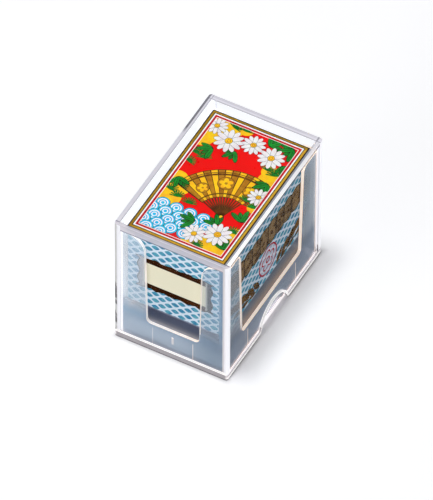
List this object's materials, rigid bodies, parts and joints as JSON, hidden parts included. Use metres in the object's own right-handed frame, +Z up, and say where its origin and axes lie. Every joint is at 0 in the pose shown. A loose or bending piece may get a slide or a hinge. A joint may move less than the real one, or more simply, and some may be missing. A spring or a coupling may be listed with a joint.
{
  "type": "flower card deck in a clear case",
  "caption": "Paper-wrapped deck of small flower playing cards with a picture label, held on a raised island in a hazy windowed tray under a clear lift-off cover with thumb notches.",
  "frame": {"origin": "centre of the case's footprint, on the surface that it stands on", "axes": "+X across the case, +Y along its length towards the back short face, +Z up"},
  "size_m": [0.0388, 0.0602, 0.0507],
  "materials": {
    "clear_plastic": "clear polished moulding with bright cut edges",
    "hazy_plastic": "milky translucent moulding, finely frosted",
    "wrapping_paper": "smooth paper printed with a blue net lattice",
    "label_board": "printed board with a bevelled gold border",
    "card_board": "laminated board, pale face, black backing paper folded over the rim"
  },
  "bodies": {
    "tray": {"tray": "hazy_plastic"},
    "deck": {"wrapper": "wrapping_paper", "title_label": "label_board", "spare_card": "card_board", "card_pine_crane": "card_board", "card_pine_ribbon": "card_board", "card_pine_plain_1": "card_board", "card_pine_plain_2": "card_board", "card_plum_warbler": "card_board", "card_plum_ribbon": "card_board", "card_plum_plain_1": "card_board", "card_plum_plain_2": "card_board", "card_cherry_curtain": "card_board", "card_cherry_ribbon": "card_board", "card_cherry_plain_1": "card_board", "card_cherry_plain_2": "card_board", "card_wisteria_cuckoo": "card_board", "card_wisteria_ribbon": "card_board", "card_wisteria_plain_1": "card_board", "card_wisteria_plain_2": "card_board", "card_iris_bridge": "card_board", "card_iris_ribbon": "card_board", "card_iris_plain_1": "card_board", "card_iris_plain_2": "card_board", "card_peony_butterflies": "card_board", "card_peony_ribbon": "card_board", "card_peony_plain_1": "card_board", "card_peony_plain_2": "card_board", "card_clover_boar": "card_board", "card_clover_ribbon": "card_board", "card_clover_plain_1": "card_board", "card_clover_plain_2": "card_board", "card_pampas_moon": "card_board", "card_pampas_geese": "card_board", "card_pampas_plain_1": "card_board", "card_pampas_plain_2": "card_board", "card_chrysanthemum_cup": "card_board", "card_chrysanthemum_ribbon": "card_board", "card_chrysanthemum_plain_1": "card_board", "card_chrysanthemum_plain_2": "card_board", "card_maple_deer": "card_board", "card_maple_ribbon": "card_board", "card_maple_plain_1": "card_board", "card_maple_plain_2": "card_board", "card_willow_rain": "card_board", "card_willow_swallow": "card_board", "card_willow_ribbon": "card_board", "card_willow_lightning": "card_board", "card_paulownia_phoenix": "card_board", "card_paulownia_plain_1": "card_board", "card_paulownia_plain_2": "card_board", "card_paulownia_plain_3": "card_board"},
    "cover": {"cover": "clear_plastic"}
  },
  "joints": [
    {"name": "deck_lift", "type": "slide", "parent": "tray", "child": "deck", "axis": [0, 0, 1], "range_m": [0, 0.036]},
    {"name": "cover_lift", "type": "slide", "parent": "deck", "child": "cover", "axis": [0, 0, 1], "range_m": [0, 0.055]}
  ]
}
